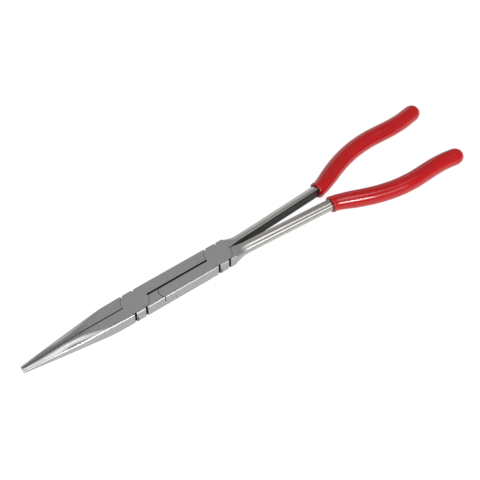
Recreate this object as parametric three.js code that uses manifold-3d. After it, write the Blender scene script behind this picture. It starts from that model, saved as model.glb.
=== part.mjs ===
// Double-joint long-reach needle-nose pliers, lying flat.
//
// Two crossed jaw halves turn on the jaw rivet. Two crossed handle levers turn on the handle
// rivet. Each jaw half has a short arm behind its rivet, each lever has a long arm ahead of its
// rivet, and the arms meet in two half-lapped link joints, one on each side, so that opening the
// handles opens the jaws about twice as far. PVC grips are dipped over the ends of the levers.
//
// Units are millimetres. While modelling, X runs from the jaw rivet towards the handle ends, Z is
// up from the middle of the thickness, and the jaws are closed. Each half is the same forging as
// its partner, turned half a turn about the X axis. The last lines move the origin to the middle
// of the footprint, at the height of the surface that the pliers lie on.

import * as THREE from "three";
import { mergeVertices } from "three/addons/utils/BufferGeometryUtils.js";
import Module from "manifold-3d";

const wasm = await Module();
wasm.setup();

// ---------------------------------------------------------------- driving dimensions

const noseReach = 79.4; // jaw rivet to the tip
const pivotSpan = 63.1; // jaw rivet to handle rivet
const rightGripEnd = 257.6; // jaw rivet to the far end of each grip
const leftGripEnd = 253.8;

const jointHalfWidth = 8.45;
const jointHalfHeight = 4.35;
const edgeBreak = 0.3; // broken outer edges of the forgings

const lapRadius = 8.9; // round boss of each lap joint
const socketRadius = 9.15; // hollow that the partner's boss turns in
const layerGap = 0.05; // half of the play between the two layers of a lap
const slotHalf = 0.68; // half of the slot between the two arms
const slitHalf = 0.35; // half of the relief between the jaws, and of the crotch of the handles

const notchPlaces = [-4.7, 3.4]; // relief notches, ahead of and behind each rivet
const notchWidth = 1.6;
const notchDepth = 1.1;

const linkAt = 21; // jaw rivet to the link pins, along X
const linkOffset = 4.4; // and to each side
const jawTongueRadius = 5.55;
const leverTongueRadius = 5.35;
const linkSocketRadius = 5.65;

const rivetRadius = 3;
const linkPinRadius = 2;
const fixedPlay = 0.04; // around a rivet in the upper half, which it is fixed in
const runningPlay = 0.08; // around a rivet in the lower half, which turns on it
const floatingPlay = 0.22; // around the jaw rivet in the right jaw, which floats on it

const toothStart = 1.6; // the gripping teeth, measured back from the tip
const toothPitch = 1.3;
const toothCount = 29;
const toothDepth = 0.3;
const biteHalf = 0.06; // half of the gap between the closed teeth

const rodHalfWidth = 3.25; // the lever's bare rod: flat inside, half-round outside
const rodHalfHeight = 4;
const rodInnerBreak = 0.4;
const rodStartsAt = 82.6; // where the forged shoulder has run out into the rod
const coreEnd = 246.6; // steel inside the grip
const gripMouth = 150.1;
const gripHalfWidth = 6.3;
const gripHalfHeight = 6.05;
const gripRoundEnd = 7; // length of the round end
const mouthShift = 0.8; // how far the mouth sits towards the other lever
const gripPlay = 0.3; // between the steel and the sleeve

const roundSteps = 48; // facets of a full circle
const tall = 20; // cutters and blanks that only need to be taller than the work

// ---------------------------------------------------------------- solids

// A closed geometry as a manifold solid.
function solid(geometry) {
  const bare = geometry.index ? geometry.toNonIndexed() : geometry.clone();
  bare.deleteAttribute("normal");
  bare.deleteAttribute("uv");
  const merged = mergeVertices(bare, 1e-4);
  return new wasm.Manifold(
    new wasm.Mesh({
      numProp: 3,
      vertProperties: merged.attributes.position.array,
      triVerts: new Uint32Array(merged.index.array),
    }),
  );
}

// The geometry of a finished manifold solid.
function geometryOf(manifold) {
  const mesh = manifold.getMesh();
  const geometry = new THREE.BufferGeometry();
  geometry.setAttribute("position", new THREE.BufferAttribute(mesh.vertProperties, mesh.numProp));
  geometry.setIndex(new THREE.BufferAttribute(mesh.triVerts, 1));
  const flat = geometry.toNonIndexed();
  flat.computeVertexNormals();
  return flat;
}

// An upright round bar.
function bar(x, y, radius, bottom, top) {
  const geometry = new THREE.CylinderGeometry(radius, radius, top - bottom, roundSteps);
  geometry.rotateX(Math.PI / 2);
  geometry.translate(x, y, (top + bottom) / 2);
  return solid(geometry);
}

// An upright block between two corners.
function block(x0, x1, y0, y1, z0 = -tall, z1 = tall) {
  const geometry = new THREE.BoxGeometry(x1 - x0, y1 - y0, z1 - z0);
  geometry.translate((x0 + x1) / 2, (y0 + y1) / 2, (z0 + z1) / 2);
  return solid(geometry);
}

// A closed skin over rings of points. The rings run along +X, and each turns from +Y to +Z.
function loft(rings) {
  const count = rings[0].length;
  const positions = rings.flat().flatMap((point) => point.toArray());
  const triangles = [];
  for (let i = 0; i + 1 < rings.length; i++) {
    for (let j = 0; j < count; j++) {
      const a = i * count + j;
      const b = i * count + ((j + 1) % count);
      triangles.push(a, b, b + count, a, b + count, a + count);
    }
  }
  const last = (rings.length - 1) * count;
  for (let j = 1; j + 1 < count; j++) {
    triangles.push(0, j + 1, j, last, last + j, last + j + 1);
  }
  const geometry = new THREE.BufferGeometry();
  geometry.setAttribute("position", new THREE.Float32BufferAttribute(positions, 3));
  geometry.setIndex(triangles);
  return solid(geometry);
}

// ---------------------------------------------------------------- jaws

// The plain block section of the joints and the arms.
const jointStation = (x) => [
  x,
  jointHalfWidth,
  jointHalfHeight,
  jointHalfHeight,
  edgeBreak,
  0.9,
];

// The closed nose and the jaw joint as one bar: distance from the rivet, half-width, half-height
// at the middle, height of the shoulder that the top falls to, width of the broken corner, and
// how much of the top stays flat on each side of the middle.
const noseStations = [
  [-noseReach, 2.22, 1.58, 1.12, 0.4, 0.05],
  [-74, 2.77, 1.98, 1.51, 0.4, 0.05],
  [-67, 3.49, 2.5, 1.96, 0.4, 0.05],
  [-60, 4.29, 3, 2.18, 0.42, 0.05],
  [-52, 5.31, 3.65, 2.39, 0.45, 0.1],
  [-45, 6.06, 4.08, 2.69, 0.45, 0.2],
  [-39, 6.64, 4.3, 3.06, 0.45, 0.3],
  [-34, 7.08, jointHalfHeight, 3.4, 0.45, 0.5],
  [-29, 7.51, jointHalfHeight, 3.75, 0.45, 0.7],
  [-24.5, 7.85, jointHalfHeight, 4.08, 0.45, 0.8],
  [-20, 8.12, jointHalfHeight, jointHalfHeight, 0.45, 0.9],
  jointStation(-8),
  jointStation(linkAt + 7),
];

// One section of such a bar: a top that falls away beside its flat middle, broken corners and
// upright sides.
function sectionRing([x, halfWidth, height, shoulder, corner, flat]) {
  const crown = halfWidth - corner;
  const slope = [1, 2 / 3, 1 / 3, 0].map((share) => [
    crown * (flat + (1 - flat) * share),
    height - (height - shoulder) * share ** 2,
  ]);
  const quarter = [[halfWidth, shoulder - corner], ...slope];
  const half = [...quarter, [0, height], ...quarter.map(([y, z]) => [-y, z]).reverse()];
  const whole = [...half, ...half.map(([y, z]) => [-y, -z])];
  return whole.map(([y, z]) => new THREE.Vector3(x, y, z));
}

// The four relief notches beside a rivet.
function notches(x) {
  const cuts = [];
  for (const along of notchPlaces) {
    for (const side of [-1, 1]) {
      const inner = side * (jointHalfWidth - notchDepth);
      const outer = side * (jointHalfWidth + notchDepth);
      const left = x + along - notchWidth / 2;
      cuts.push(block(left, left + notchWidth, Math.min(inner, outer), Math.max(inner, outer)));
    }
  }
  return cuts.reduce((all, cut) => all.add(cut));
}

// A comb that cuts V-shaped teeth across a jaw's flat inner face.
function teeth() {
  const comb = new THREE.Shape();
  const start = -noseReach + toothStart;
  comb.moveTo(start, slitHalf);
  for (let i = 0; i < toothCount; i++) {
    comb.lineTo(start + i * toothPitch, -biteHalf);
    comb.lineTo(start + (i + 0.5) * toothPitch, -biteHalf - toothDepth);
  }
  comb.lineTo(start + toothCount * toothPitch, -biteHalf);
  comb.lineTo(start + toothCount * toothPitch, slitHalf);
  comb.closePath();
  const cutter = new THREE.ExtrudeGeometry(comb, { depth: 2 * tall, bevelEnabled: false });
  return solid(cutter.translate(0, 0, -tall));
}

// The left jaw: jaw on the -Y side, upper half of the lap, arm on the +Y side, and an upper
// tongue at the link.
function jawHalf() {
  const toothEnd = -noseReach + toothStart + toothCount * toothPitch;
  const bite = block(-noseReach - 1, toothEnd, -tall, -biteHalf);
  const cheek = block(toothEnd - 1, 0, -tall, -slitHalf);
  const boss = bar(0, 0, lapRadius, layerGap, tall);
  const arm = block(0, linkAt, slotHalf, tall);
  const tongueSide = block(0, linkAt + tall, slotHalf, tall);
  const tongue = bar(linkAt, linkOffset, jawTongueRadius, layerGap, tall).intersect(tongueSide);
  const socket = bar(0, 0, socketRadius, -tall, layerGap);
  const linkSocket = bar(linkAt, linkOffset, linkSocketRadius, -tall, layerGap);
  return loft(noseStations.map(sectionRing))
    .intersect(bite.add(cheek).add(boss).add(arm).add(tongue))
    .subtract(socket)
    .subtract(linkSocket)
    .subtract(notches(0))
    .subtract(teeth());
}

// ---------------------------------------------------------------- handle levers

// The middle line of the right lever and its grip, as [x, y].
const leverLine = [
  [60, 4.2],
  [73, 4.2],
  [82.6, 4.5],
  [125, 6.97],
  [146, 8.23],
  [154, 9.04],
  [164, 12.24],
  [174, 16.25],
  [184, 19.61],
  [196, 22.26],
  [209, 23.42],
  [220, 23.14],
  [230, 22.75],
  [240, 23.14],
  [252, 24.91],
];

const line = new THREE.CatmullRomCurve3(
  leverLine.map(([x, y]) => new THREE.Vector3(x, y, 0)),
  false,
  "catmullrom",
  0.5,
);

// The place and the direction of the middle line where it passes a distance along X.
function lineAt(x) {
  let low = 0;
  let high = 1;
  for (let i = 0; i < 40; i++) {
    const middle = (low + high) / 2;
    if (line.getPoint(middle).x < x) low = middle;
    else high = middle;
  }
  return { point: line.getPoint(low), along: line.getTangent(low) };
}

// A ring of [sideways, up] points, standing square to the middle line at x.
function ringAt(x, section) {
  const { point, along } = lineAt(x);
  const side = new THREE.Vector3(-along.y, along.x, 0);
  return section.map(([across, up]) => point.clone().addScaledVector(side, across).setZ(up));
}

// A lever section: flat on the inner side, rounded on the outer side by roundWide by roundHigh.
function leverSection(halfWidth, halfHeight, roundWide, roundHigh, innerBreak) {
  const steps = 5;
  const lower = [];
  for (let i = 0; i <= steps; i++) {
    const angle = (i / steps) * (Math.PI / 2);
    const across = halfWidth - roundWide + roundWide * Math.sin(angle);
    lower.push([across, -(halfHeight - roundHigh + roundHigh * Math.cos(angle))]);
  }
  lower.unshift([innerBreak - halfWidth, -halfHeight]);
  lower.unshift([-halfWidth, innerBreak - halfHeight]);
  return [...lower, ...lower.map(([across, up]) => [across, -up]).reverse()];
}

// The section of the lever at x: a half block at the joint that runs out into the rod.
function leverRing(x, extra = 0) {
  const share = THREE.MathUtils.smoothstep(x, pivotSpan + lapRadius - 1, rodStartsAt) ** 0.85;
  const blend = (atJoint, onRod) => THREE.MathUtils.lerp(atJoint, onRod, share);
  const halfWidth = blend(jointHalfWidth - leverLine[0][1], rodHalfWidth) + extra;
  const halfHeight = blend(jointHalfHeight, rodHalfHeight) + extra;
  const roundWide = blend(edgeBreak, 1.85 * rodHalfWidth);
  const roundHigh = blend(edgeBreak, 0.96 * rodHalfHeight);
  const innerBreak = blend(0.1, rodInnerBreak);
  return ringAt(x, leverSection(halfWidth, halfHeight, roundWide, roundHigh, innerBreak));
}

const spread = (from, to, count) =>
  Array.from({ length: count + 1 }, (_, i) => from + ((to - from) * i) / count);

// The right lever: arm on the -Y side with an upper tongue, upper half of the lap, and the rod
// and core on the +Y side.
function leverHalf() {
  const joint = [linkAt - leverTongueRadius - 1, pivotSpan + lapRadius + 0.2].map(jointStation);
  const arm = block(linkAt, pivotSpan, -tall, -slotHalf);
  const tongueSide = block(linkAt - tall, linkAt, -tall, -slotHalf);
  const tongueBar = bar(linkAt, -linkOffset, leverTongueRadius, layerGap, tall);
  const boss = bar(pivotSpan, 0, lapRadius, layerGap, tall);
  const root = block(pivotSpan, pivotSpan + tall, slitHalf, tall);
  const rod = [
    ...spread(pivotSpan + 2, pivotSpan + lapRadius, 1),
    ...spread(pivotSpan + lapRadius + 1.5, rodStartsAt, 5),
    ...spread(100, 146, 2),
    ...spread(152, coreEnd, 18),
  ];
  return loft(joint.map(sectionRing))
    .intersect(arm.add(tongueBar.intersect(tongueSide)).add(boss).add(root))
    .add(loft(rod.map((x) => leverRing(x))).intersect(block(0, 300, slitHalf, 60)))
    .subtract(bar(pivotSpan, 0, socketRadius, -tall, layerGap))
    .subtract(bar(linkAt, -linkOffset, linkSocketRadius, -tall, layerGap))
    .subtract(notches(pivotSpan));
}

// ---------------------------------------------------------------- grips

// The dipped sleeve of the right lever, thickest under the palm, with a bead at its mouth and a
// round end, bored to slide over the lever's core.
function grip(end) {
  const sides = 20;
  const oval = (scale) =>
    spread(0, 2 * Math.PI, sides)
      .slice(0, sides)
      .map((angle) => [
        gripHalfWidth * scale * Math.cos(angle),
        gripHalfHeight * scale * Math.sin(angle),
      ]);
  const stations = [
    [gripMouth, 0.86],
    [gripMouth + 0.5, 0.9],
    [gripMouth + 1.4, 0.91],
    [gripMouth + 3, 0.885],
    [gripMouth + 8, 0.92],
    ...spread(gripMouth + 16, end - 21, 14).map((x) => [x, 0.985 + 0.015 * Math.sin((x - 166) / 22)]),
    [end - 14, 0.985],
    [end - gripRoundEnd, 0.97],
  ];
  const rings = stations.map(([x, scale]) => {
    const shift = mouthShift * (1 - THREE.MathUtils.smoothstep(x, gripMouth, gripMouth + 18));
    return ringAt(x, oval(scale).map(([across, up]) => [across - shift, up]));
  });
  const { point, along } = lineAt(end - gripRoundEnd);
  const side = new THREE.Vector3(-along.y, along.x, 0);
  for (const angle of spread(12, 84, 6).map(THREE.MathUtils.degToRad)) {
    const centre = point.clone().addScaledVector(along, (gripRoundEnd / along.x) * Math.sin(angle));
    const section = oval(0.97 * Math.cos(angle) ** 0.8);
    rings.push(section.map(([across, up]) => centre.clone().addScaledVector(side, across).setZ(up)));
  }
  const bore = spread(gripMouth - 2, coreEnd + gripPlay, 20).map((x) => leverRing(x, gripPlay));
  return loft(rings).subtract(loft(bore));
}

// ---------------------------------------------------------------- rivets

// A flush rivet through the whole joint.
function rivet(x, y, radius) {
  return bar(x, y, radius, -jointHalfHeight, jointHalfHeight);
}

// A half with its two bores, one for the rivet of its lap and one for its link pin.
function drilled(half, rivetX, linkY, rivetPlay, pinPlay) {
  return half
    .subtract(bar(rivetX, 0, rivetRadius + rivetPlay, -tall, tall))
    .subtract(bar(linkAt, linkY, linkPinRadius + pinPlay, -tall, tall));
}

// ---------------------------------------------------------------- assembly

const steel = new THREE.MeshStandardMaterial({ color: 0xa7a8a8, roughness: 0.36, metalness: 1 });
const bright = new THREE.MeshStandardMaterial({ color: 0xb4b2ae, roughness: 0.22, metalness: 1 });
const pinSteel = new THREE.MeshStandardMaterial({ color: 0x9c9d9e, roughness: 0.4, metalness: 1 });
const vinyl = new THREE.MeshStandardMaterial({ color: 0xb8141f, roughness: 0.25, metalness: 0 });

const pliers = new THREE.Group();
pliers.position.set(-(rightGripEnd - noseReach) / 2, 0, gripHalfHeight);

function place(name, shape, material, turned = false) {
  const mesh = new THREE.Mesh(geometryOf(shape), material);
  mesh.name = name;
  if (turned) mesh.rotation.x = Math.PI;
  pliers.add(mesh);
}

const jaw = jawHalf();
const lever = leverHalf();

place("left_jaw", drilled(jaw, 0, linkOffset, fixedPlay, fixedPlay), steel);
place("right_jaw", drilled(jaw, 0, linkOffset, floatingPlay, runningPlay), steel, true);
place("right_handle", drilled(lever, pivotSpan, -linkOffset, fixedPlay, fixedPlay), bright);
place("left_handle", drilled(lever, pivotSpan, -linkOffset, runningPlay, runningPlay), bright, true);
place("right_grip", grip(rightGripEnd), vinyl);
place("left_grip", grip(leftGripEnd), vinyl, true);
place("jaw_rivet", rivet(0, 0, rivetRadius), pinSteel);
place("handle_rivet", rivet(pivotSpan, 0, rivetRadius), pinSteel);
place("left_link_pin", rivet(linkAt, -linkOffset, linkPinRadius), pinSteel);
place("right_link_pin", rivet(linkAt, linkOffset, linkPinRadius), pinSteel);

export default pliers;
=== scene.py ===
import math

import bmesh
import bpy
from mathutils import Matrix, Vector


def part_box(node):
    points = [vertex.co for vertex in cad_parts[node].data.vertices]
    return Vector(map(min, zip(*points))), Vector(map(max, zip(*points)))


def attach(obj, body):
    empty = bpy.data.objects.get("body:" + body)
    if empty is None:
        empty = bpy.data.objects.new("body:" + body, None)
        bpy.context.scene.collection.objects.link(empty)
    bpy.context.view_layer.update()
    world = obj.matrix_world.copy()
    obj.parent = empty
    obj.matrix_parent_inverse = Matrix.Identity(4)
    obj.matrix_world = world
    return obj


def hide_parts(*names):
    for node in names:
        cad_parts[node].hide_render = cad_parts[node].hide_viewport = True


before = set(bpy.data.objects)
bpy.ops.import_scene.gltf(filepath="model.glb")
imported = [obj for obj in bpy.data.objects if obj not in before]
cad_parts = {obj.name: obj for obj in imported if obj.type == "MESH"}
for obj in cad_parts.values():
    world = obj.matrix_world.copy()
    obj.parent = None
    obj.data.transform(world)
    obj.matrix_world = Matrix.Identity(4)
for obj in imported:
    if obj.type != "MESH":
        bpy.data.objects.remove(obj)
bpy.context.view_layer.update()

# Looks of the long-reach needle-nose pliers. The shapes are modelled in millimetres on a bench
# whose origin is the jaw rivet at the middle of the thickness: X runs to the handle ends and +Y to
# the right handle. Each half is built in the place of the one that crosses over in the top layer,
# and its partner is the same shape turned over about the X axis.

# ---------------------------------------------------------------- sizes, from the frame

MM = 0.001


def middle(node):
    """The middle of a CAD node's box, in metres."""
    low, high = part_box(node)
    return (low + high) / 2


JAW_PIVOT = middle("jaw_rivet")


def along_bench(point, axis):
    """One coordinate of a point of the frame, in millimetres on the bench."""
    return (point[axis] - JAW_PIVOT[axis]) / MM


GRIP_END_RELIEF = 0.13  # keeps the rounder grip ends inside the CAD's box

PIVOT_SPAN = along_bench(middle("handle_rivet"), 0)
LINK_X = along_bench(middle("right_link_pin"), 0)
LINK_Y = along_bench(middle("right_link_pin"), 1)
TIP_X = along_bench(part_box("left_jaw")[0], 0)
HALF_WIDTH = along_bench(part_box("left_jaw")[1], 1)
HALF_HEIGHT = along_bench(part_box("jaw_rivet")[1], 2)
RIVET_RADIUS = along_bench(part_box("jaw_rivet")[1], 0)
PIN_RADIUS = along_bench(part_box("right_link_pin")[1], 0) - LINK_X
CORE_END = along_bench(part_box("right_handle")[1], 0)
GRIP_MOUTH = along_bench(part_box("right_grip")[0], 0)
GRIP_HALF_HEIGHT = along_bench(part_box("right_grip")[1], 2)
GRIP_ENDS = {
    side: along_bench(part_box(f"{side}_grip")[1], 0) - GRIP_END_RELIEF
    for side in ("right", "left")
}

# ---------------------------------------------------------------- sizes of the finer shapes, in mm

EDGE = 0.24  # broken outer edges of the forgings
RIM = 0.3  # steep strip between the falling top of the nose and its broken corner
LAP_RADIUS = 8.9  # round boss of each lap joint
SOCKET_RADIUS = 9.15  # hollow that the partner's boss turns in
LAYER_GAP = 0.05  # half of the play between the two layers of a lap
SLOT_HALF = 0.68  # half of the slot between the two arms
SLIT_HALF = 0.35  # half of the relief between the jaws, and of the crotch of the handles
NOTCH_PLACES = (-4.7, 3.4)  # relief notches, ahead of and behind each rivet
NOTCH_WIDTH = 1.6
NOTCH_DEPTH = 1.1
JAW_TONGUE_RADIUS = 5.65
LEVER_TONGUE_RADIUS = 5.35
LINK_SOCKET_RADIUS = 5.76
SEAM = 0.01  # hairline around a rivet that is fixed and ground flush
RUNNING_SEAM = 0.06  # around a rivet or pin that a half turns on
FLOATING_SEAM = 0.2  # around the jaw rivet in the jaw that floats on it

TOOTH_START = 1.6
TOOTH_PITCH = 1.3
TOOTH_COUNT = 29
TOOTH_DEPTH = 0.3
BITE_HALF = 0.06  # half of the gap between the two rows of teeth

ROD_HALF_WIDTH = 3.25
ROD_HALF_HEIGHT = 4
ROD_ROUND_WIDE = 1.7 * ROD_HALF_WIDTH  # half-axes of the round on the outer side
ROD_ROUND_HIGH = 0.96 * ROD_HALF_HEIGHT
ROD_INNER_BREAK = 0.4
JOINT_INNER_BREAK = 0.1
ROD_STARTS = 82.6
ROD_ENDS = 146

GRIP_HALF_WIDTH = 6.28
GRIP_NECK = 0.885  # thickness behind the mouth, as a share of the full section
GRIP_NECK_LENGTH = 18
GRIP_HEEL = 0.97  # thickness where the round end starts
GRIP_ROUND_END = 7
MOUTH_SHIFT = 0.8  # of the mouth towards the inner side, where the rod lies
SLEEVE_PLAY = 0.3

TALL = 20  # reach of a cutter that only has to pass the work
FAR = 400
ROUND_STEPS = 160
OVAL_STEPS = 144

# Distance from the jaw rivet, half-width, half-height at the middle, height of the shoulder that
# the top falls to, broken corner, and the share of the top that stays flat.
NOSE = [
    (TIP_X, 2.22, 1.58, 1.04, 0.26, 0.05),
    (-74, 2.77, 1.98, 1.38, 0.26, 0.05),
    (-67, 3.49, 2.5, 1.84, 0.26, 0.05),
    (-60, 4.29, 3, 2.18, 0.27, 0.05),
    (-52, 5.31, 3.65, 2.39, 0.28, 0.1),
    (-45, 6.06, 4.08, 2.69, 0.29, 0.2),
    (-39, 6.64, 4.3, 3.06, 0.3, 0.3),
    (-34, 7.08, HALF_HEIGHT, 3.4, 0.3, 0.5),
    (-29, 7.51, HALF_HEIGHT, 3.75, 0.3, 0.7),
    (-24.5, 7.85, HALF_HEIGHT, 4.08, 0.29, 0.8),
    (-20, 8.12, HALF_HEIGHT, HALF_HEIGHT, 0.28, 0.9),
    (-8, HALF_WIDTH, HALF_HEIGHT, HALF_HEIGHT, EDGE, 0.9),
]

# Middle line of the right lever, as (x, y).
LEVER_LINE = [
    (60, 4.2),
    (73, 4.2),
    (82.6, 4.5),
    (125, 6.97),
    (146, 8.23),
    (154, 9.04),
    (164, 12.24),
    (174, 16.25),
    (184, 19.61),
    (196, 22.26),
    (209, 23.42),
    (220, 23.14),
    (230, 22.75),
    (240, 23.14),
    (252, 24.91),
]

# Rolled mouth of a grip: distance from the mouth, and share of the full section.
MOUTH_ROLL = [
    (0, 0.8),
    (0, 0.86),
    (0.2, 0.885),
    (0.6, 0.905),
    (1.2, 0.91),
    (1.9, 0.9),
    (2.6, 0.887),
]

# Material slots: of the forgings, and of the grips, which share the second one. The second slot is
# painted shade for the faces cut into seams, slots, notches and bores, and for the grips' insides.
STEEL, SHADED_CUT, SCALE = 0, 1, 2
VINYL = 0

# ---------------------------------------------------------------- small helpers


def lerp(a, b, t):
    return a + (b - a) * t


def smooth(x, low, high):
    """Eases from 0 at low to 1 at high."""
    t = min(1, max(0, (x - low) / (high - low)))
    return t * t * (3 - 2 * t)


def spread(low, high, count):
    """Evenly spaced values from low to high, both included."""
    return [lerp(low, high, i / count) for i in range(count + 1)]


def table_at(rows, x):
    """A smooth curve through the rows of a table, read at x: every column after the first."""
    if x <= rows[0][0]:
        return rows[0][1:]
    if x >= rows[-1][0]:
        return rows[-1][1:]
    i = max(k for k in range(len(rows) - 1) if rows[k][0] <= x)
    before, low = rows[max(i - 1, 0)], rows[i]
    high, after = rows[i + 1], rows[min(i + 2, len(rows) - 1)]
    span = high[0] - low[0]
    t = (x - low[0]) / span
    values = []
    for k in range(1, len(low)):
        start = (high[k] - before[k]) / (high[0] - before[0]) * span
        end = (after[k] - low[k]) / (after[0] - low[0]) * span
        cubic = (2 * t**3 - 3 * t**2 + 1) * low[k] + (t**3 - 2 * t**2 + t) * start
        values.append(cubic + (3 * t**2 - 2 * t**3) * high[k] + (t**3 - t**2) * end)
    return values


# By default a skin takes the slot of painted shade, which a cutter passes on to every face it cuts.
def mesh_object(rings, slot=SHADED_CUT):
    """A closed skin over rings of points, each ring turning the same way."""
    bm = bmesh.new()
    loops = [[bm.verts.new(point) for point in ring] for ring in rings]
    count = len(loops[0])
    for a, b in zip(loops, loops[1:]):
        for j in range(count):
            k = (j + 1) % count
            bm.faces.new((a[j], a[k], b[k], b[j]))
    bm.faces.new(loops[0])
    bm.faces.new(loops[-1])
    bmesh.ops.recalc_face_normals(bm, faces=bm.faces)
    for face in bm.faces:
        face.material_index = slot
    return object_from(bm, "piece")


def object_from(bm, name):
    mesh = bpy.data.meshes.new(name)
    bm.to_mesh(mesh)
    bm.free()
    made = bpy.data.objects.new(name, mesh)
    bpy.context.scene.collection.objects.link(made)
    return made


def post(x, y, radius, z0, z1, slot=SHADED_CUT):
    """An upright round bar."""
    angles = [2 * math.pi * i / ROUND_STEPS for i in range(ROUND_STEPS)]
    ring = [(x + radius * math.cos(a), y + radius * math.sin(a)) for a in angles]
    return mesh_object([[(*point, z) for point in ring] for z in (z0, z1)], slot)


def block(x0, x1, y0, y1, z0=-TALL, z1=TALL):
    corners = [(y0, z0), (y1, z0), (y1, z1), (y0, z1)]
    return mesh_object([[(x, y, z) for y, z in corners] for x in (x0, x1)])


def combine(base, tools, operation):
    """Joins or cuts the base with each tool, and leaves the plain result."""
    for tool in tools:
        step = base.modifiers.new(operation, "BOOLEAN")
        step.operation = operation
        step.solver = "MANIFOLD"
        step.object = tool
    evaluated = base.evaluated_get(bpy.context.evaluated_depsgraph_get())
    result = bpy.data.meshes.new_from_object(evaluated)
    base.modifiers.clear()
    base.data = result
    for tool in tools:
        bpy.data.objects.remove(tool)
    return base


# ---------------------------------------------------------------- cutters shared by the forgings


def boss(x, y, radius):
    """A round boss in the top layer."""
    return post(x, y, radius, LAYER_GAP, TALL)


def socket(x, y, radius):
    """The hollow for a boss, in the bottom layer."""
    return post(x, y, radius, -TALL, LAYER_GAP)


def bore(x, y, radius):
    return post(x, y, radius, -TALL, TALL)


def notches(x):
    """The four relief notches around a rivet, two on each side."""
    cuts = []
    for along in NOTCH_PLACES:
        for side in (-1, 1):
            left = x + along - NOTCH_WIDTH / 2
            ends = sorted((side * (HALF_WIDTH - NOTCH_DEPTH), side * (HALF_WIDTH + 1)))
            cuts.append(block(left, left + NOTCH_WIDTH, *ends))
    return cuts


# ---------------------------------------------------------------- jaws


def bar_ring(x, row):
    """A section of the nose or the joint: flat middle, falling sides, a steep rim, broken corners."""
    width, height, shoulder, corner, flat = row
    crown = width - corner
    rim = min(RIM, 0.1 * width) * smooth(height - shoulder, 0, RIM)
    brow = shoulder + 0.68 * rim
    power = lerp(2, 1.6, smooth(-x, 42, 60))
    quarter = [(width, 0), (width, shoulder - corner), (crown, shoulder)]
    for share in spread(1, 0, 14):
        across = (crown - rim) * (flat + (1 - flat) * share)
        quarter.append((across, height - (height - brow) * share**power))
    half = quarter + [(0, height)] + [(-y, z) for y, z in reversed(quarter)]
    whole = half + [(y, -z) for y, z in reversed(half[1:-1])]
    return [(x, y, z) for y, z in whole]


def nose_bar():
    """The outline of both jaws and their arms, before the halves are cut from it."""
    places = [*spread(TIP_X, NOSE[-1][0], 90), LINK_X + 7]
    return mesh_object([bar_ring(x, table_at(NOSE, x)) for x in places], STEEL)


def teeth():
    """A comb that cuts V-shaped teeth across a jaw's flat inner face."""
    start = TIP_X + TOOTH_START
    outline = [(start, SLIT_HALF)]
    for i in range(TOOTH_COUNT):
        outline.append((start + i * TOOTH_PITCH, -BITE_HALF))
        outline.append((start + (i + 0.5) * TOOTH_PITCH, -BITE_HALF - TOOTH_DEPTH))
    end = start + TOOTH_COUNT * TOOTH_PITCH
    outline += [(end, -BITE_HALF), (end, SLIT_HALF)]
    return mesh_object([[(*point, z) for point in outline] for z in (-TALL, TALL)])


def jaw(rivet_seam, pin_seam):
    """Jaw on the -Y side, boss in the top layer, arm on the +Y side with a top tongue."""
    tooth_end = TIP_X + TOOTH_START + TOOTH_COUNT * TOOTH_PITCH
    region = combine(
        block(TIP_X - 1, tooth_end, -TALL, -BITE_HALF),
        [
            block(tooth_end - 0.5, 0, -TALL, -SLIT_HALF),
            boss(0, 0, LAP_RADIUS),
            block(-0.01, LINK_X, SLOT_HALF, TALL),
        ],
        "UNION",
    )
    tongue = combine(
        boss(LINK_X, LINK_Y, JAW_TONGUE_RADIUS),
        [block(LINK_X - 1, LINK_X + TALL, SLOT_HALF, TALL)],
        "INTERSECT",
    )
    combine(region, [tongue], "UNION")
    made = combine(nose_bar(), [region], "INTERSECT")
    cuts = [
        socket(0, 0, SOCKET_RADIUS),
        socket(LINK_X, LINK_Y, LINK_SOCKET_RADIUS),
        bore(0, 0, RIVET_RADIUS + rivet_seam),
        bore(LINK_X, LINK_Y, PIN_RADIUS + pin_seam),
        teeth(),
        *notches(0),
    ]
    return combine(made, cuts, "DIFFERENCE")


# ---------------------------------------------------------------- levers


def lever_y(x):
    """The right lever's middle line, which goes on straight past its last point."""
    last, before = LEVER_LINE[-1], LEVER_LINE[-2]
    if x > last[0]:
        return last[1] + (x - last[0]) * (last[1] - before[1]) / (last[0] - before[0])
    return table_at(LEVER_LINE, x)[0]


def line_at(x):
    """The point on the right lever's middle line at x, and its direction there."""
    step = 0.05
    y0, y1 = (lever_y(x + d) for d in (-step, step))
    return Vector((x, lever_y(x), 0)), Vector((2 * step, y1 - y0, 0)).normalized()


def square_ring(centre, along, section):
    """A ring of (outwards, up) points around a centre, square to a direction."""
    side = Vector((-along.y, along.x, 0))
    return [tuple(centre + side * across + Vector((0, 0, up))) for across, up in section]


def ring_at(x, section):
    return square_ring(*line_at(x), section)


def lever_section(half_width, half_height, round_wide, round_high, inner_break):
    """Flat on the inner side and rounded on the outer side."""
    lower = [(-half_width, inner_break - half_height), (inner_break - half_width, -half_height)]
    for angle in spread(0, math.pi / 2, 30):
        across = half_width - round_wide + round_wide * math.sin(angle)
        lower.append((across, -(half_height - round_high + round_high * math.cos(angle))))
    return lower + [(across, -up) for across, up in reversed(lower[:-1])]


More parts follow.
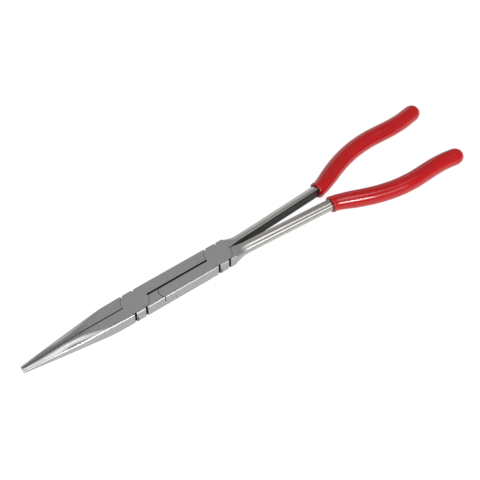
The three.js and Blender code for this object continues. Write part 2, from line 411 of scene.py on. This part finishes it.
def lever_ring(x, extra=0):
    """A section of the right lever, which goes from the square joint to the rounded rod."""
    share = smooth(x, PIVOT_SPAN + LAP_RADIUS - 1, ROD_STARTS) ** 0.85
    half_width = lerp(HALF_WIDTH - LEVER_LINE[0][1], ROD_HALF_WIDTH, share) + extra
    half_height = lerp(HALF_HEIGHT, ROD_HALF_HEIGHT, share) + extra
    fullness = smooth(x, PIVOT_SPAN + LAP_RADIUS - 2, ROD_STARTS - 2) ** 0.5
    round_wide = lerp(EDGE, ROD_ROUND_WIDE, fullness)
    round_high = lerp(EDGE, ROD_ROUND_HIGH, fullness)
    inner_break = lerp(JOINT_INNER_BREAK, ROD_INNER_BREAK, share)
    section = lever_section(half_width, half_height, round_wide, round_high, inner_break)
    return ring_at(x, section)


def rod():
    """The lever behind its joint, with the flat inner face left as it was forged."""
    start = PIVOT_SPAN + LAP_RADIUS
    places = [
        start - 2,
        *spread(start - 1, ROD_STARTS, 24),
        *spread(ROD_STARTS + 1, ROD_ENDS, 40),
        *spread(ROD_ENDS + 1, CORE_END, 80),
    ]
    made = mesh_object([lever_ring(x) for x in places], STEEL)
    for polygon in made.data.polygons:
        faces_inwards = polygon.normal.y < -0.4
        if faces_inwards:
            polygon.material_index = SCALE
    return combine(made, [block(0, FAR, SLIT_HALF, FAR)], "INTERSECT")


def lever(rivet_seam, pin_seam):
    """Arm on the -Y side with a top tongue, boss in the top layer, rod and core on the +Y side."""
    region = combine(
        block(LINK_X, PIVOT_SPAN + 0.01, -TALL, -SLOT_HALF),
        [
            boss(PIVOT_SPAN, 0, LAP_RADIUS),
            block(PIVOT_SPAN, PIVOT_SPAN + LAP_RADIUS, SLIT_HALF, TALL),
        ],
        "UNION",
    )
    tongue = combine(
        boss(LINK_X, -LINK_Y, LEVER_TONGUE_RADIUS),
        [block(LINK_X - TALL, LINK_X + 1, -TALL, -SLOT_HALF)],
        "INTERSECT",
    )
    combine(region, [tongue], "UNION")
    ends = (LINK_X - LEVER_TONGUE_RADIUS - 1, PIVOT_SPAN + LAP_RADIUS)
    joint = mesh_object([bar_ring(x, NOSE[-1][1:]) for x in ends], STEEL)
    made = combine(joint, [region], "INTERSECT")
    combine(made, [rod()], "UNION")
    cuts = [
        socket(PIVOT_SPAN, 0, SOCKET_RADIUS),
        socket(LINK_X, -LINK_Y, LINK_SOCKET_RADIUS),
        bore(PIVOT_SPAN, 0, RIVET_RADIUS + rivet_seam),
        bore(LINK_X, -LINK_Y, PIN_RADIUS + pin_seam),
        *notches(PIVOT_SPAN),
    ]
    return combine(made, cuts, "DIFFERENCE")


# ---------------------------------------------------------------- grips


def grip_scale(x, end):
    """Thickness of the sleeve along its length, as a share of its full section."""
    body = 0.985 + 0.015 * math.sin((x - GRIP_MOUTH - 16) / 22)
    neck = lerp(GRIP_NECK, body, smooth(x, GRIP_MOUTH + 3, GRIP_MOUTH + GRIP_NECK_LENGTH))
    return lerp(neck, GRIP_HEEL, smooth(x, end - 24, end - GRIP_ROUND_END))


def oval(scale, shift=0):
    """The sleeve's outer section, moved inwards by the shift."""
    angles = [2 * math.pi * i / OVAL_STEPS for i in range(OVAL_STEPS)]
    return [
        (GRIP_HALF_WIDTH * scale * math.cos(a) - shift, GRIP_HALF_HEIGHT * scale * math.sin(a))
        for a in angles
    ]


def grip(end):
    """The dipped sleeve of the right lever: rolled mouth, full palm and round end."""
    rings = [ring_at(GRIP_MOUTH + ahead, oval(share, MOUTH_SHIFT)) for ahead, share in MOUTH_ROLL]
    for x in spread(GRIP_MOUTH + 4, end - GRIP_ROUND_END, 90):
        shift = MOUTH_SHIFT * (1 - smooth(x, GRIP_MOUTH, GRIP_MOUTH + GRIP_NECK_LENGTH))
        rings.append(ring_at(x, oval(grip_scale(x, end), shift)))
    point, along = line_at(end - GRIP_ROUND_END)
    for angle in [math.radians(a) for a in spread(6, 84, 16)]:
        centre = point + along * (GRIP_ROUND_END / along.x * math.sin(angle))
        rings.append(square_ring(centre, along, oval(GRIP_HEEL * math.cos(angle) ** 0.8)))
    sleeve = mesh_object(rings, VINYL)
    places = spread(GRIP_MOUTH - 2, CORE_END + SLEEVE_PLAY, 60)
    inside = mesh_object([lever_ring(x, SLEEVE_PLAY) for x in places])
    return combine(sleeve, [inside], "DIFFERENCE")


# ---------------------------------------------------------------- materials


class Nodes:
    """A material's node tree, with short calls for the nodes used here."""

    def __init__(self, name):
        self.material = bpy.data.materials.new(name)
        self.material.use_nodes = True
        self.tree = self.material.node_tree
        self.surface = self.tree.nodes["Principled BSDF"]

    def node(self, kind, **settings):
        made = self.tree.nodes.new(kind)
        for name, value in settings.items():
            setattr(made, name, value)
        return made

    def link(self, start, end):
        self.tree.links.new(start, end)

    def noise(self, stretch, detail=3.0, roughness=0.6):
        """Noise over the object's own coordinates; stretch is in cycles per metre along X, Y, Z."""
        place = self.node("ShaderNodeTexCoord")
        mapping = self.node("ShaderNodeMapping")
        mapping.inputs["Scale"].default_value = stretch
        noise = self.node("ShaderNodeTexNoise")
        noise.inputs["Scale"].default_value = 1
        noise.inputs["Detail"].default_value = detail
        noise.inputs["Roughness"].default_value = roughness
        self.link(place.outputs["Object"], mapping.inputs["Vector"])
        self.link(mapping.outputs["Vector"], noise.inputs["Vector"])
        return noise.outputs["Fac"]

    def range(self, value, low, high, start=0.3, end=0.7):
        """Maps start..end of a value to low..high."""
        made = self.node("ShaderNodeMapRange")
        made.inputs["From Min"].default_value = start
        made.inputs["From Max"].default_value = end
        made.inputs["To Min"].default_value = low
        made.inputs["To Max"].default_value = high
        self.link(value, made.inputs["Value"])
        return made.outputs["Result"]

    def along(self, start, end, low, high):
        """A value that eases from low to high between two places along the object's X."""
        place = self.node("ShaderNodeTexCoord")
        split = self.node("ShaderNodeSeparateXYZ")
        self.link(place.outputs["Object"], split.inputs["Vector"])
        eased = self.range(split.outputs["X"], low, high, start, end)
        eased.node.interpolation_type = "SMOOTHSTEP"
        return eased

    def blend(self, factor, first, second):
        """Mixes two values; each is another node's output."""
        made = self.node("ShaderNodeMix", data_type="FLOAT")
        for index, value in ((0, factor), (2, first), (3, second)):
            self.link(value, made.inputs[index])
        return made.outputs[0]

    def mix(self, factor, first, second):
        """Mixes two colours; each is a colour or another node's output."""
        made = self.node("ShaderNodeMix", data_type="RGBA")
        self.link(factor, made.inputs["Factor"])
        for index, value in ((6, first), (7, second)):
            if isinstance(value, (tuple, list)):
                made.inputs[index].default_value = (*value, 1)
            else:
                self.link(value, made.inputs[index])
        return made.outputs[2]

    def bump(self, height, distance, strength):
        made = self.node("ShaderNodeBump")
        made.inputs["Distance"].default_value = distance
        made.inputs["Strength"].default_value = strength
        self.link(height, made.inputs["Height"])
        return made.outputs["Normal"]


def steel(name, polish, sheen):
    """Bare steel, ground satin as far as one place along the bench and polished past another."""
    n = Nodes(name)
    satin_at, polished_at = (JAW_PIVOT.x + place * MM for place in polish)
    n.surface.inputs["Metallic"].default_value = 1
    clouds = n.noise((90, 160, 160), detail=4)
    grind = n.noise((2600, 60, 60), detail=4, roughness=0.7)
    satin = n.mix(n.range(grind, 0, 1), (0.35, 0.35, 0.35), (0.39, 0.39, 0.39))
    dull, clear = ([channel * share for channel in sheen] for share in (0.95, 1.05))
    bright = n.mix(n.range(clouds, 0, 1), dull, clear)
    tone = n.mix(n.along(satin_at, polished_at, 0, 1), satin, bright)
    n.link(tone, n.surface.inputs["Base Color"])
    smooth_side = n.along(satin_at, polished_at, 0.36, 0.17)
    rough_side = n.along(satin_at, polished_at, 0.46, 0.23)
    n.link(n.blend(n.range(grind, 0, 1), smooth_side, rough_side), n.surface.inputs["Roughness"])
    lines = n.bump(grind, 0.00003, 0.3)
    n.link(n.along(satin_at, polished_at, 0.3, 0.04), lines.node.inputs["Strength"])
    n.link(lines, n.surface.inputs["Normal"])
    return n.material


def painted_crevice_shade():
    """Cut faces down in the seams and slots: painted shade, steel near black and faintly uneven,
    standing in for the shadow down in them.
    """
    n = Nodes("painted_crevice_shade")
    n.surface.inputs["Metallic"].default_value = 0.3
    n.surface.inputs["Specular IOR Level"].default_value = 0.2
    film = n.noise((400, 400, 400), detail=3)
    # Painted shade: the cut faces are coloured near black so that they read as the shadow in seams,
    # slots, notches and bores.
    tone = n.mix(n.range(film, 0, 1), (0.01, 0.01, 0.01), (0.028, 0.027, 0.026))
    n.link(tone, n.surface.inputs["Base Color"])
    n.link(n.range(film, 0.5, 0.7), n.surface.inputs["Roughness"])
    return n.material


def forge_scale():
    """The unpolished inner faces of the rods: black oxide, a little brown, matt and pitted."""
    n = Nodes("forge_scale")
    n.surface.inputs["Metallic"].default_value = 0.4
    n.surface.inputs["Specular IOR Level"].default_value = 0.3
    patches = n.noise((120, 200, 300), detail=5)
    pits = n.noise((1500, 1500, 1500), detail=3)
    tone = n.mix(n.range(patches, 0, 1), (0.009, 0.009, 0.009), (0.024, 0.022, 0.019))
    n.link(tone, n.surface.inputs["Base Color"])
    n.link(n.range(pits, 0.42, 0.66), n.surface.inputs["Roughness"])
    n.link(n.bump(pits, 0.00005, 0.35), n.surface.inputs["Normal"])
    return n.material


def dipped_vinyl():
    """Glossy dipped PVC: deep red, faintly uneven like set syrup."""
    n = Nodes("dipped_vinyl")
    n.surface.inputs["Specular IOR Level"].default_value = 0.5
    clouds = n.noise((60, 60, 60), detail=3)
    tone = n.mix(n.range(clouds, 0, 1), (0.37, 0.0, 0.001), (0.42, 0.0, 0.003))
    n.link(tone, n.surface.inputs["Base Color"])
    n.link(n.range(clouds, 0.12, 0.15), n.surface.inputs["Roughness"])
    return n.material


# ---------------------------------------------------------------- finishing and placing

JAW_POLISH = (-22, -50)  # where the satin ends and where the polish is full
LEVER_POLISH = (70, 95)
JAW_SHEEN = (0.41, 0.406, 0.398)
LEVER_SHEEN = (0.44, 0.426, 0.405)
SHARP_ANGLE = 9  # degrees; edges that bend more than this stay crisp


def finish(piece, name, body, node, materials, partner=False):
    """Names the piece, puts it in the row frame, shades it and hands it to its body.

    A partner is turned over about the X axis. Clearing the materials would reset the slot of
    every face, so the slots are put back afterwards.
    """
    piece.name = name
    piece.data.name = name
    flip = Matrix.Rotation(math.pi, 4, "X") if partner else Matrix.Identity(4)
    piece.data.transform(Matrix.Translation(JAW_PIVOT) @ Matrix.Scale(MM, 4) @ flip)
    slots = [polygon.material_index for polygon in piece.data.polygons]
    piece.data.materials.clear()
    for material in materials:
        piece.data.materials.append(material)
    piece.data.polygons.foreach_set("material_index", slots)
    piece.data.shade_smooth()
    piece.data.set_sharp_from_angle(angle=math.radians(SHARP_ANGLE))
    even = piece.modifiers.new("even_shading", "WEIGHTED_NORMAL")
    even.keep_sharp = True
    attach(piece, body)
    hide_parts(node)


def build_jaws(looks):
    for side, rivet_seam, pin_seam, partner in (
        ("left", SEAM, SEAM, False),
        ("right", FLOATING_SEAM, RUNNING_SEAM, True),
    ):
        body = f"{side}_jaw"
        forging = jaw(rivet_seam, pin_seam)
        finish(forging, f"jaw_{side}", body, body, looks, partner)


def build_handles(lever_looks, grip_looks):
    for side, seam, partner in (("right", SEAM, False), ("left", RUNNING_SEAM, True)):
        body = f"{side}_handle"
        forging = lever(seam, seam)
        finish(forging, f"lever_{side}", body, body, lever_looks, partner)
        sleeve = grip(GRIP_ENDS[side])
        finish(sleeve, f"grip_{side}", body, f"{side}_grip", grip_looks, partner)


def build_rivets(looks):
    for name, node, body, x, y, radius in (
        ("rivet_jaws", "jaw_rivet", "left_jaw", 0, 0, RIVET_RADIUS),
        ("rivet_handles", "handle_rivet", "right_handle", PIVOT_SPAN, 0, RIVET_RADIUS),
        ("pin_left", "left_link_pin", "right_handle", LINK_X, -LINK_Y, PIN_RADIUS),
        ("pin_right", "right_link_pin", "left_jaw", LINK_X, LINK_Y, PIN_RADIUS),
    ):
        rivet = post(x, y, radius, -HALF_HEIGHT, HALF_HEIGHT, STEEL)
        finish(rivet, name, body, node, looks)


def build_pliers():
    jaw_steel = steel("jaw_steel", JAW_POLISH, JAW_SHEEN)
    lever_steel = steel("lever_steel", LEVER_POLISH, LEVER_SHEEN)
    # The second material of the forgings and of the grips is painted shade for their cut faces.
    cut_shade, scale, vinyl = painted_crevice_shade(), forge_scale(), dipped_vinyl()
    build_jaws([jaw_steel, cut_shade])
    build_handles([lever_steel, cut_shade, scale], [vinyl, cut_shade])
    build_rivets([jaw_steel])


# ---------------------------------------------------------------- stage, light and camera

FLOOR_HALF = 4  # m
WORLD_GREY = 0.41
LAMP_TARGET = (90, 0, 0)

# Name, direction from the pliers, distance in m, width and height in m, and radiance.
SOFTBOXES = [
    ("front_box", (0.05, -0.85, 0.53), 0.8, (0.28, 0.78), 2.3),
    ("spot_box", (0, -0.82, 0.57), 0.74, (0.15, 0.2), 27),
    ("top_box_near", (0.05, -0.063, 0.79), 0.79, (0.57, 0.36), 1.95),
    ("top_box_far", (0.31, -0.17, 0.76), 0.85, (0.46, 0.2), 1.18),
    ("rear_box", (0.28, 0.45, 0.72), 0.9, (0.14, 0.3), 0.68),
    ("back_box", (0.25, 0.92, 0.3), 0.9, (0.5, 0.9), 0.55),
]

CAMERA_AZIMUTH = -37.39  # degrees, turned about Z from a view along +Y
CAMERA_ELEVATION = 51.59
CAMERA_ROLL = 1.21
CAMERA_TARGET = (83.3, 3.62, 0)
CAMERA_DISTANCE = 707.4
CAMERA_LENS = 81.7
CAMERA_SENSOR = 36


def build_floor():
    """A pale floor that glows a little, so that it shows white under soft light."""
    bm = bmesh.new()
    bmesh.ops.create_grid(bm, x_segments=1, y_segments=1, size=FLOOR_HALF)
    floor = object_from(bm, "floor")
    n = Nodes("pale_floor")
    n.surface.inputs["Base Color"].default_value = (0.25, 0.25, 0.25, 1)
    n.surface.inputs["Roughness"].default_value = 0.9
    n.surface.inputs["Specular IOR Level"].default_value = 0
    n.surface.inputs["Emission Color"].default_value = (1, 1, 1, 1)
    n.surface.inputs["Emission Strength"].default_value = 0.88
    floor.data.materials.append(n.material)


def softbox(name, direction, distance, size, radiance):
    """A rectangular area light that faces the middle of the pliers."""
    width, height = size
    data = bpy.data.lights.new(name, "AREA")
    data.shape = "RECTANGLE"
    data.size = width
    data.size_y = height
    data.energy = radiance * math.pi * width * height
    lamp = bpy.data.objects.new(name, data)
    towards = Vector(direction).normalized()
    lamp.location = JAW_PIVOT + Vector(LAMP_TARGET) * MM + towards * distance
    lamp.rotation_euler = towards.to_track_quat("Z", "X").to_euler()
    bpy.context.scene.collection.objects.link(lamp)


def build_light():
    world = bpy.data.worlds.new("studio")
    world.use_nodes = True
    sky = world.node_tree.nodes["Background"]
    sky.inputs["Color"].default_value = (WORLD_GREY, WORLD_GREY, WORLD_GREY, 1)
    bpy.context.scene.world = world
    for box in SOFTBOXES:
        softbox(*box)


def build_camera():
    azimuth = math.radians(CAMERA_AZIMUTH)
    elevation = math.radians(CAMERA_ELEVATION)
    roll = math.radians(CAMERA_ROLL)
    back = Vector(
        (
            math.sin(azimuth) * math.cos(elevation),
            -math.cos(azimuth) * math.cos(elevation),
            math.sin(elevation),
        )
    )
    level = Vector((math.cos(azimuth), math.sin(azimuth), 0))
    rise = back.cross(level)
    right = level * math.cos(roll) + rise * math.sin(roll)
    up = rise * math.cos(roll) - level * math.sin(roll)
    target = JAW_PIVOT + Vector(CAMERA_TARGET) * MM
    data = bpy.data.cameras.new("camera")
    data.sensor_width = CAMERA_SENSOR
    data.lens = CAMERA_LENS
    camera = bpy.data.objects.new("camera", data)
    turn = Matrix((right, up, back)).transposed().to_4x4()
    camera.matrix_world = Matrix.Translation(target + back * CAMERA_DISTANCE * MM) @ turn
    bpy.context.scene.collection.objects.link(camera)
    bpy.context.scene.camera = camera


build_camera()
build_pliers()
build_floor()
build_light()
bpy.context.scene.view_settings.view_transform = "Standard"
